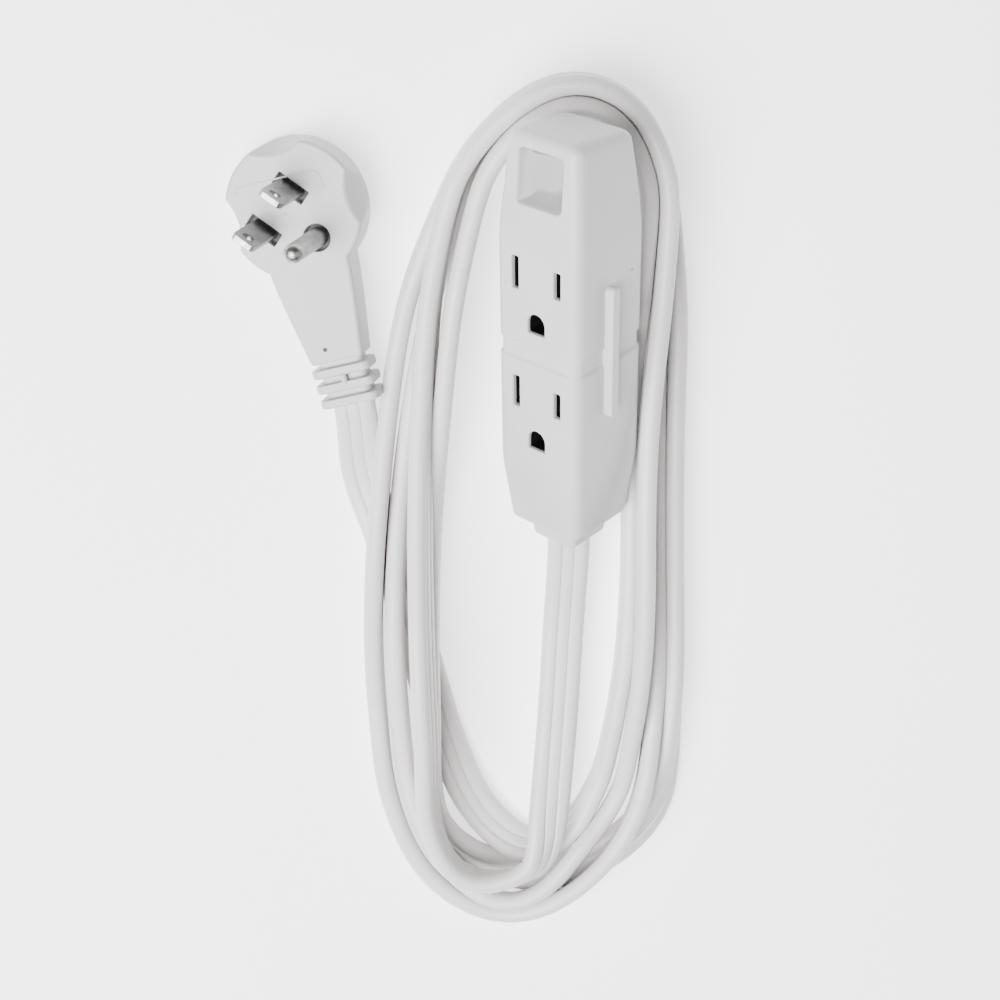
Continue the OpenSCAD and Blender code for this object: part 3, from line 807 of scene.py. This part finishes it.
def painted_floor(glow):
    """Pale matt paint with a faint drift in tone, lit from below like a light table."""
    material, tree, shader = new_material("floor_paint")
    tone = two_tone(tree, noise(tree, 6, 3), (0.93, 0.93, 0.93), (0.96, 0.96, 0.96))
    tree.links.new(tone, shader.inputs["Base Color"])
    shader.inputs["Roughness"].default_value = 0.9
    shader.inputs["Emission Color"].default_value = (1, 1, 1, 1)
    shader.inputs["Emission Strength"].default_value = glow
    return material


def keep_local(obj, place):
    """Stores each point's place in the piece's own axes, in metres, for its material."""
    back = place.inverted()
    layer = obj.data.attributes.new("local", "FLOAT_VECTOR", "POINT")
    layer.data.foreach_set("vector", [c for v in obj.data.vertices for c in back @ v.co])


def dress(material, *objects):
    for obj in objects:
        obj.data.materials.clear()
        obj.data.materials.append(material)


WHITE_SHELL = moulded("white_shell", (0.53, 0.533, 0.537), (0.562, 0.565, 0.569), 0.4)
PLUG_SHELL = moulded("plug_shell_white", (0.48, 0.482, 0.485), (0.51, 0.512, 0.515), 0.42)
JACKET = drawn_vinyl()
BRIDGE_DARK = moulded("bridge_dark", (0.012, 0.012, 0.014), (0.022, 0.022, 0.026), 0.5)
# Near-black painted shade for the sleeves inside the outlet openings.
HOLE_SHADE = moulded("opening_painted_shade", (0.004, 0.004, 0.005), (0.008, 0.008, 0.01), 0.6, sheen=0.1)
CARRIER = moulded("carrier_plastic", (0.45, 0.42, 0.34), (0.52, 0.48, 0.4), 0.5)
NICKEL = brushed("nickel", (0.2, 0.198, 0.195), (0.38, 0.376, 0.37), 0.36)
BRASS = brushed("brass", (0.6, 0.44, 0.2), (0.76, 0.58, 0.3), 0.34, along=None)
COPPER = brushed("copper", (0.62, 0.3, 0.17), (0.78, 0.42, 0.26), 0.32, (1, 0.1, 1), None)

dress(WHITE_SHELL, block, rib, neck)
dress(PLUG_SHELL, plug, relief, outline_ridge)
dress(JACKET, cord)
# The sleeves in the outlet openings get the near-black painted shade.
dress(HOLE_SHADE, shade_liners)
for piece in (neutral, line, pin):
    keep_local(piece, PATTERN)
dress(NICKEL, pin, neutral, line)
dress(BRIDGE_DARK, NODES["pin_bridge"])
dress(CARRIER, NODES["contact_carrier"], NODES["carrier_lid"])
dress(BRASS, NODES["line_bus"], NODES["neutral_bus"], NODES["ground_bus"])
dress(COPPER, *(NODES[f"{end}_{core}_wire"]
                for end in ("tap", "plug") for core in ("line", "neutral", "ground")))


# ---------- floor and light ----------

FLOOR_GLOW = 1.4
SKY = 0.1
LIGHT_AIM = Vector((-0.01, -0.05, 0))


def lay_floor():
    half = 3
    corners = [(-half, -half, 0), (half, -half, 0), (half, half, 0), (-half, half, 0)]
    floor = bpy.data.objects.new("floor", mesh_of("floor", corners, [(0, 1, 2, 3)]))
    bpy.context.scene.collection.objects.link(floor)
    dress(painted_floor(FLOOR_GLOW), floor)


def area_light(name, place, size, power):
    data = bpy.data.lights.new(name, "AREA")
    data.shape = "DISK"
    data.size = size
    data.energy = power
    obj = bpy.data.objects.new(name, data)
    obj.location = place
    obj.rotation_euler = (LIGHT_AIM - Vector(place)).to_track_quat("-Z", "Y").to_euler()
    bpy.context.scene.collection.objects.link(obj)


def pale_sky():
    world = bpy.data.worlds.new("studio")
    bpy.context.scene.world = world
    world.use_nodes = True
    background = world.node_tree.nodes["Background"]
    background.inputs["Color"].default_value = (1, 1, 1, 1)
    background.inputs["Strength"].default_value = SKY


lay_floor()
area_light("key", (-0.47, -0.2, 0.97), 0.95, 43)
area_light("fill", (0.8, -0.1, 0.7), 0.9, 3.5)
pale_sky()


# ---------- the pieces and what they stand for ----------

for piece, nodes, finish in (
        (block, ["tap_body"], "block_shell"), (rib, [], "block_shell"), (shade_liners, [], "block_inner"),
        (neck, ["tap_strain_relief"], "block_shell"), (plug, ["plug_body"], "plug_shell"),
        (outline_ridge, [], "plug_shell"), (relief, ["plug_strain_relief"], "plug_shell"),
        (neutral, ["neutral_blade"], "blade_metal"), (line, ["line_blade"], "blade_metal"),
        (pin, ["ground_pin"], "blade_metal")):
    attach(piece, "root")
    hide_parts(*nodes)
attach(cord, "root")
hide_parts("cord_coil", "tap_lead", "plug_lead")
